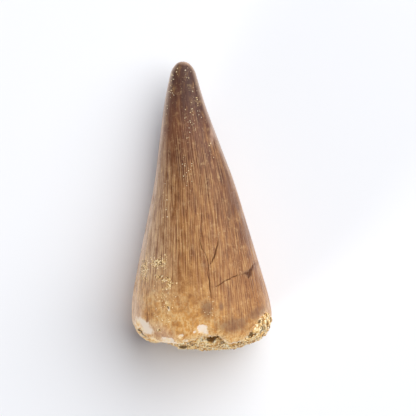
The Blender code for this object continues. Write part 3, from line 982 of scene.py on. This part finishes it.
class ToothLook(bpy.types.PropertyGroup):
    tip_colour: colour_property("Tip", "#58392d", "Enamel at the tip")
    upper_colour: colour_property("Upper", "#784b33", "Enamel of the upper third")
    middle_colour: colour_property("Middle", "#9b6b3f", "Enamel half way down")
    lower_colour: colour_property("Lower", "#ab7842", "Enamel of the lower third")
    base_colour: colour_property("Base", "#b68247", "Enamel near the broken rim")
    # Painted light with dust: lightens the left flank towards the base
    dust_and_light_colour: colour_property("Dust", "#e6c8a5", "Pale dust worn into the left flank")
    bloom_colour: colour_property("Bloom", "#f2e6dc", "Fine dust that shows where the enamel is seen edge-on")
    # Worn pale enamel, with painted sheen along the edges and painted light in the lower-left worn patches
    wear_and_light_colour: colour_property("Edges", "#e2c4ac", "Enamel worn pale along both cutting edges")
    # Painted shade: darkens and greys the right flank and the broad shaded zones
    flank_shade_tint: colour_property("Right flank", "#dacfd2", "What the right flank's colour is multiplied by")
    # Also the painted shade in the wrinkles' furrows
    shade_tint: colour_property("Shade", "#b6906e", "What dark streaks and furrows multiply the colour by")
    gold_streak: colour_property("Gold streak", "#c99a5c", "Golden patches and streaks")
    # Also the painted highlight on the wrinkles' crests
    pale_streak_and_highlight: colour_property("Pale streak", "#d0ad7a", "Pale lengthwise streaks and crests")
    stain_colour: colour_property("Stain", "#6f4a35", "Dark mineral stains")
    crack_colour: colour_property("Crack", "#4e280f", "Cracks filled with dirt")
    rim_colour: colour_property("Rim", "#dd9f50", "Amber enamel next to the broken rim")
    pale_rim: colour_property("Pale rim", "#efca8c", "Pale patches in the amber enamel")
    dentine_colour: colour_property("Dentine", "#f0d19a", "Dentine where the enamel is gone")
    pale_dentine: colour_property("Pale dentine", "#eddac4", "Chalky dentine")
    sand_colour: colour_property("Sand", "#dba963", "Common grains of the rock")
    pale_grain: colour_property("Pale grain", "#f0d398", "Pale grains of the rock")
    quartz_colour: colour_property("Quartz", "#f6e9c6", "Clear and white grains")
    # Also the painted shade in the rock's hollows, pits and slit
    dark_grain_and_shade: colour_property("Dark grain", "#573814", "Dark grains and pits of the rock")
    # Also the painted shade in the crevices between the rock's lumps
    rock_shadow: colour_property("Rock cement", "#a4733a", "Cement between the grains")
    wrinkle_pitch: length_property("Wrinkle pitch", 0.00042, "From crest to crest at the base")
    wrinkle_height: length_property("Wrinkle height", 0.00008, "From furrow to crest")
    flake_depth: length_property("Enamel thickness", 0.00012, "How far bare dentine lies below enamel")
    crack_depth: length_property("Crack depth", 0.00012, "Depth of cracks")
    rock_grains: FloatProperty(
        name="Rock grains", description="Loose grains per square millimetre of rock", default=6.0, min=0.0
    )
    crust_grains: FloatProperty(
        name="Crust grains", description="Grains per square millimetre of crust", default=7.0, min=0.0
    )


class StageLook(bpy.types.PropertyGroup):
    floor_colour: colour_property("Floor", "#efeff0", "The plain floor")
    floor_size: length_property("Floor size", 4.0, "Side of the floor")
    sky_colour: colour_property("Sky colour", "#d4e0fa", "Even light, cool enough to keep shadows grey")
    sky_strength: FloatProperty(name="Sky", description="Strength of the even light", default=0.18)
    box_power: FloatProperty(name="Soft box", description="Power of the soft box", default=19.7, unit="POWER")
    box_size: length_property("Soft box size", 1.50, "Across the soft box")
    box_distance: length_property("Light distance", 1.0, "From the tooth")
    fill_power: FloatProperty(name="Fill", description="Power of the low fill", default=6.2, unit="POWER")
    fill_size: length_property("Fill size", 0.3, "Across the low fill light")
    lens: FloatProperty(name="Lens", description="Focal length in millimetres", default=300.0, unit="CAMERA")
    view_width: length_property("View width", 0.0721, "What the picture spans at the cutting edges")


# ---------------------------------------------------------------- operators


class FOSSIL_OT_set_stage(bpy.types.Operator):
    """Adds the floor, the lights and the camera that looks straight down"""

    bl_idname = "fossil.set_stage"
    bl_label = "Set Stage"

    def execute(self, context):
        look = context.scene.fossil_stage
        # Uncoated card, which gives an even pale ground without gloss
        material, tree, shader = new_material("matt white card")
        links = {"Base Color": look.floor_colour, "Roughness": 0.9, "Specular IOR Level": 0.0}
        connect(tree, shader, links)
        half = look.floor_size / 2
        corners = [(-half, -half, 0), (half, -half, 0), (half, half, 0), (-half, half, 0)]
        mesh = bpy.data.meshes.new("floor")
        mesh.from_pydata(corners, [], [(0, 1, 2, 3)])
        mesh.materials.append(material)
        floor = bpy.data.objects.new("floor", mesh)
        context.scene.collection.objects.link(floor)

        world = bpy.data.worlds.new("white room")
        world.use_nodes = True
        background = world.node_tree.nodes["Background"]
        connect(world.node_tree, background, {"Color": look.sky_colour, "Strength": look.sky_strength})
        context.scene.world = world

        for name, place, size, power in (
            ("soft box", BOX_PLACE, look.box_size, look.box_power),
            ("low fill", FILL_PLACE, look.fill_size, look.fill_power),
        ):
            turn, height = map(math.radians, place)
            level = math.cos(height)
            towards = Vector((math.cos(turn) * level, math.sin(turn) * level, math.sin(height)))
            light = bpy.data.lights.new(name, "AREA")
            light.shape = "DISK"
            light.size = size
            light.energy = power
            box = bpy.data.objects.new(name, light)
            box.location = towards * look.box_distance
            box.rotation_euler = towards.to_track_quat("Z", "Y").to_euler()
            context.scene.collection.objects.link(box)

        lens = bpy.data.cameras.new("camera")
        lens.lens = look.lens
        lens.sensor_width = SENSOR_WIDTH
        lens.clip_start = 0.01
        lens.clip_end = 20.0
        camera = bpy.data.objects.new("camera", lens)
        distance = look.lens / lens.sensor_width * look.view_width
        x, y = CAMERA_OVER
        camera.location = (x * MM, y * MM, EDGES_HEIGHT * MM + distance)
        context.scene.collection.objects.link(camera)
        context.scene.camera = camera
        context.scene.view_settings.view_transform = "Standard"
        return {"FINISHED"}


class FOSSIL_OT_build_crown(bpy.types.Operator):
    """Builds the crown with its wrinkled enamel, cracks, flaked patches and broken rim"""

    bl_idname = "fossil.build_crown"
    bl_label = "Build Crown"

    def execute(self, context):
        look = context.scene.fossil_look
        parts = crown_points(origin_shift())
        marks = mark_crown(parts)
        marks.update({key: parts[key] for key in ("lane", "flank", "from_edge", "to_rim")})
        crown = mesh_object("mosasaur_crown", parts["points"], parts["faces"], marks)
        carve_crown(crown, parts, marks, look)
        inputs = {
            "Wrinkle pitch": look.wrinkle_pitch,
            "Wrinkle height": look.wrinkle_height,
            "Material": fossil_enamel(look),
        }
        made_real(crown, wrinkle_tree(), inputs)
        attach(crown, "root")
        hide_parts("tooth_crown")
        return {"FINISHED"}


def carve_crown(crown, parts, marks, look):
    """Lowers flaked patches, cracks and pits, and roughens the broken wall both ways."""
    points, to_rim = parts["points"], parts["to_rim"]
    resting = (points[:, 2] < RESTING_HEIGHT) & (to_rim > 1.0)
    depth = look.flake_depth / MM * (1 - smooth_step(-0.10, 0.10, marks["to_bare"]))
    depth += look.crack_depth / MM * (1 - smooth_step(0.2, 1.3, marks["from_crack"]))
    broken = 1 - smooth_step(-0.2, 0.6, to_rim - 0.5)
    roughness, lump_size = BROKEN_ROUGHNESS
    depth += broken * (roughness * noise_at(points, lump_size) - BROKEN_LEVEL)
    pit_depth, pit_size = PITS
    depth += pit_depth * smooth_step(0.45, 0.75, noise_at(points, pit_size))
    depth[resting] *= RESTING_SHARE
    lowered = points - point_normals(crown) * depth[:, None]
    lowered[:, 2] = np.maximum(lowered[:, 2], 0.0)
    move_points(crown, lowered)


class FOSSIL_OT_build_rock(bpy.types.Operator):
    """Builds the sandy rock in the broken base, with its loose grains"""

    bl_idname = "fossil.build_rock"
    bl_label = "Build Rock"

    def execute(self, context):
        look = context.scene.fossil_look
        points, faces, shown, off_wall = rock_points(origin_shift())
        rock = mesh_object("sandy_matrix", points, faces, {"hollow_shade": shown})
        hollow_shade = roughen_rock(rock, points, shown, off_wall)
        rock.data.materials.append(phosphate_sandstone(look))
        grit = shown * (1 - 0.8 * smooth_step(0.35, 0.75, hollow_shade)) * (points[:, 2] > FLOOR_GAP)
        sand = loose_sand(look)
        grains = scatter_sand(
            "matrix_grains", rock, grit, look.rock_grains, ROCK_GRAINS, ROCK_DARKEST, ROCK_SEED, sand
        )
        for piece in (rock, grains):
            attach(piece, "root")
        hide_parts("matrix")
        return {"FINISHED"}


class FOSSIL_OT_build_crust(bpy.types.Operator):
    """Scatters the grains of rock that still stick to the enamel"""

    bl_idname = "fossil.build_crust"
    bl_label = "Build Crust"

    def execute(self, context):
        look = context.scene.fossil_look
        crown = bpy.data.objects["mosasaur_crown"]
        thickness = []
        for key in ("crust", "sprinkle"):
            thickness.append(np.zeros(len(crown.data.vertices), np.float32))
            crown.data.attributes[key].data.foreach_get("value", thickness[-1])
        crusted, sprinkled = thickness
        grit = np.maximum(0.8 * smooth_step(0.0, 0.9, crusted), 0.3 * smooth_step(-0.5, 0.6, sprinkled))
        sand = bpy.data.materials["quartz and phosphate sand"]
        crust = scatter_sand(
            "crust_grains", crown, grit, look.crust_grains, CRUST_GRAINS, CRUST_DARKEST, CRUST_SEED, sand
        )
        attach(crust, "root")
        return {"FINISHED"}


class FOSSIL_PT_tooth(bpy.types.Panel):
    """Lists the tooth's pieces and what can be changed on them"""

    bl_label = "Fossil Tooth"
    bl_space_type = "VIEW_3D"
    bl_region_type = "UI"
    bl_category = "Fossil Tooth"

    def draw(self, context):
        for operator in OPERATORS:
            self.layout.operator(operator.bl_idname)
        for settings in (context.scene.fossil_look, context.scene.fossil_stage):
            box = self.layout.box()
            for name in settings.__annotations__:
                box.prop(settings, name)


OPERATORS = (FOSSIL_OT_set_stage, FOSSIL_OT_build_crown, FOSSIL_OT_build_rock, FOSSIL_OT_build_crust)
CLASSES = (ToothLook, StageLook, *OPERATORS, FOSSIL_PT_tooth)


def register():
    for kind in CLASSES:
        bpy.utils.register_class(kind)
    bpy.types.Scene.fossil_look = PointerProperty(type=ToothLook)
    bpy.types.Scene.fossil_stage = PointerProperty(type=StageLook)


def unregister():
    del bpy.types.Scene.fossil_stage
    del bpy.types.Scene.fossil_look
    for kind in reversed(CLASSES):
        bpy.utils.unregister_class(kind)


def main():
    register()
    bpy.ops.fossil.set_stage()
    bpy.ops.fossil.build_crown()
    bpy.ops.fossil.build_rock()
    bpy.ops.fossil.build_crust()


if __name__ == "__main__":
    main()
